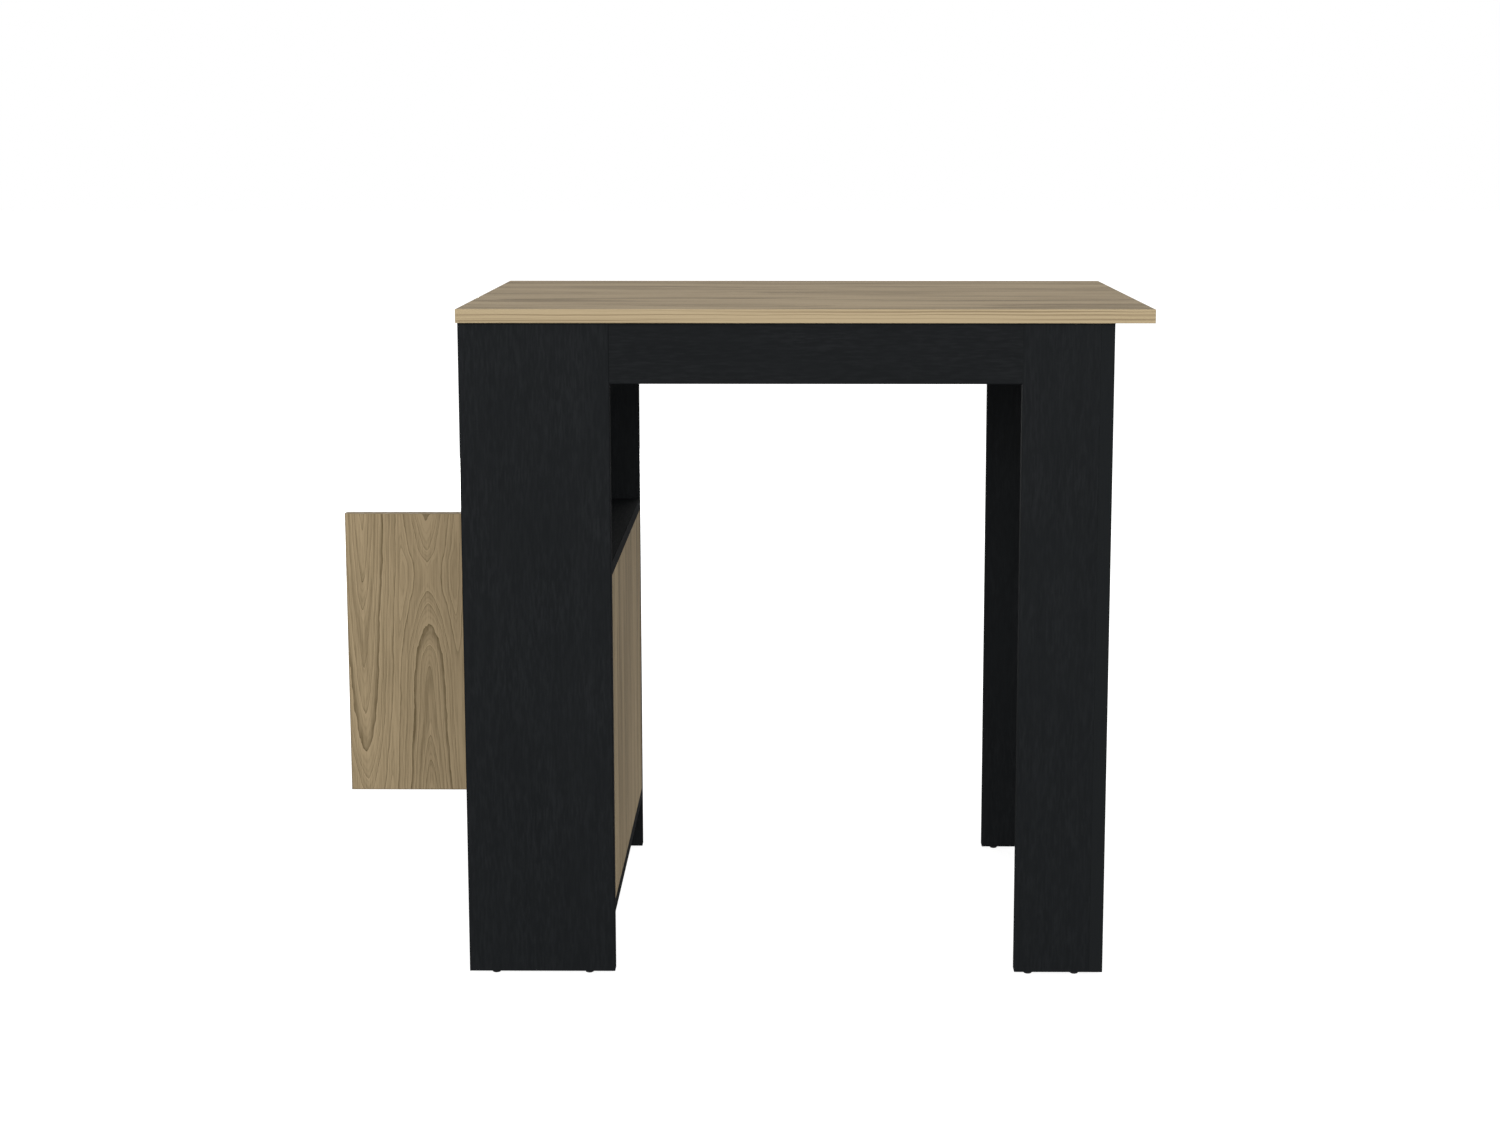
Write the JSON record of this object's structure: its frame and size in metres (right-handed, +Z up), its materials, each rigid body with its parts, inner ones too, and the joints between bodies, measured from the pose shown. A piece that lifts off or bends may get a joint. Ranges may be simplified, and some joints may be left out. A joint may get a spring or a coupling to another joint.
{
  "type": "kitchen island",
  "caption": "Kitchen island with an oak worktop on a black cabinet tower and two L-shaped legs; the cupboard door stands open at a right angle.",
  "frame": {"origin": "on the floor, in the middle of the footprint with the door standing open", "axes": "+X to the right along the worktop, +Y to the back, +Z up"},
  "size_m": [1.1546, 0.58, 0.892],
  "materials": {
    "oak_melamine": "satin wood grain foil",
    "oak_edge_band": "satin striped edge band",
    "black_melamine": "matt embossed wood pores",
    "black_edge_band": "matt edge band",
    "beech": "raw",
    "plated_steel": "satin nickel",
    "zinc": "zinc plated",
    "grey_plastic": "moulded",
    "black_plastic": "moulded",
    "rubber": "soft"
  },
  "bodies": {
    "carcase": {"worktop": "oak_melamine", "worktop_front_edge_band": "oak_edge_band", "worktop_back_edge_band": "oak_edge_band", "worktop_left_edge_band": "oak_edge_band", "worktop_right_edge_band": "oak_edge_band", "tower_front_panel": "black_melamine", "tower_front_panel_edge_bands": "black_edge_band", "tower_back_panel": "black_melamine", "tower_back_panel_edge_bands": "black_edge_band", "tower_shelf": "black_melamine", "tower_shelf_edge_bands": "black_edge_band", "cabinet_floor": "black_melamine", "cabinet_floor_edge_bands": "black_edge_band", "cabinet_inner_side_panel": "oak_melamine", "cabinet_divider": "black_melamine", "cabinet_divider_edge_band": "black_edge_band", "side_bay_shelf": "black_melamine", "side_bay_shelf_edge_band": "black_edge_band", "cabinet_shelf": "black_melamine", "cabinet_shelf_edge_band": "black_edge_band", "shelf_pins": "plated_steel", "front_rail": "black_melamine", "back_rail": "black_melamine", "end_rail": "black_melamine", "rail_edge_bands": "black_edge_band", "front_leg_face_board": "black_melamine", "front_leg_side_board": "black_melamine", "front_leg_edge_bands": "black_edge_band", "back_leg_face_board": "black_melamine", "back_leg_side_board": "black_melamine", "back_leg_edge_bands": "black_edge_band", "upper_hinge_frame_leaf": "plated_steel", "upper_hinge_pin": "zinc", "lower_hinge_frame_leaf": "plated_steel", "lower_hinge_pin": "zinc", "hinge_frame_screws": "zinc", "latch_housing": "grey_plastic", "latch_spring": "plated_steel", "latch_screws": "zinc", "cam_discs": "zinc", "cam_bolts": "zinc", "dowels": "beech", "confirmat_screws": "zinc", "floor_glides": "black_plastic", "glide_nails": "plated_steel"},
    "door": {"door_panel": "oak_melamine", "door_free_side_edge_band": "oak_edge_band", "door_hinge_side_edge_band": "oak_edge_band", "door_bottom_edge_band": "oak_edge_band", "door_top_edge_band": "oak_edge_band", "upper_hinge_door_leaf": "plated_steel", "lower_hinge_door_leaf": "plated_steel", "hinge_door_screws": "zinc"},
    "latch_plunger": {"latch_plunger": "black_plastic", "latch_buffer": "rubber"}
  },
  "joints": [
    {"name": "door_hinge", "type": "hinge", "parent": "carcase", "child": "door", "pos_m": [-0.32308, 0.26575, 0.3195], "axis": [0, 0, 1], "range_deg": [-80, 90]},
    {"name": "latch_press", "type": "slide", "parent": "carcase", "child": "latch_plunger", "axis": [1, 0, 0], "range_m": [0, 0.004], "stiffness_N_per_m": 1000, "springref_m": -0.004, "deforming": ["latch_spring"]}
  ]
}
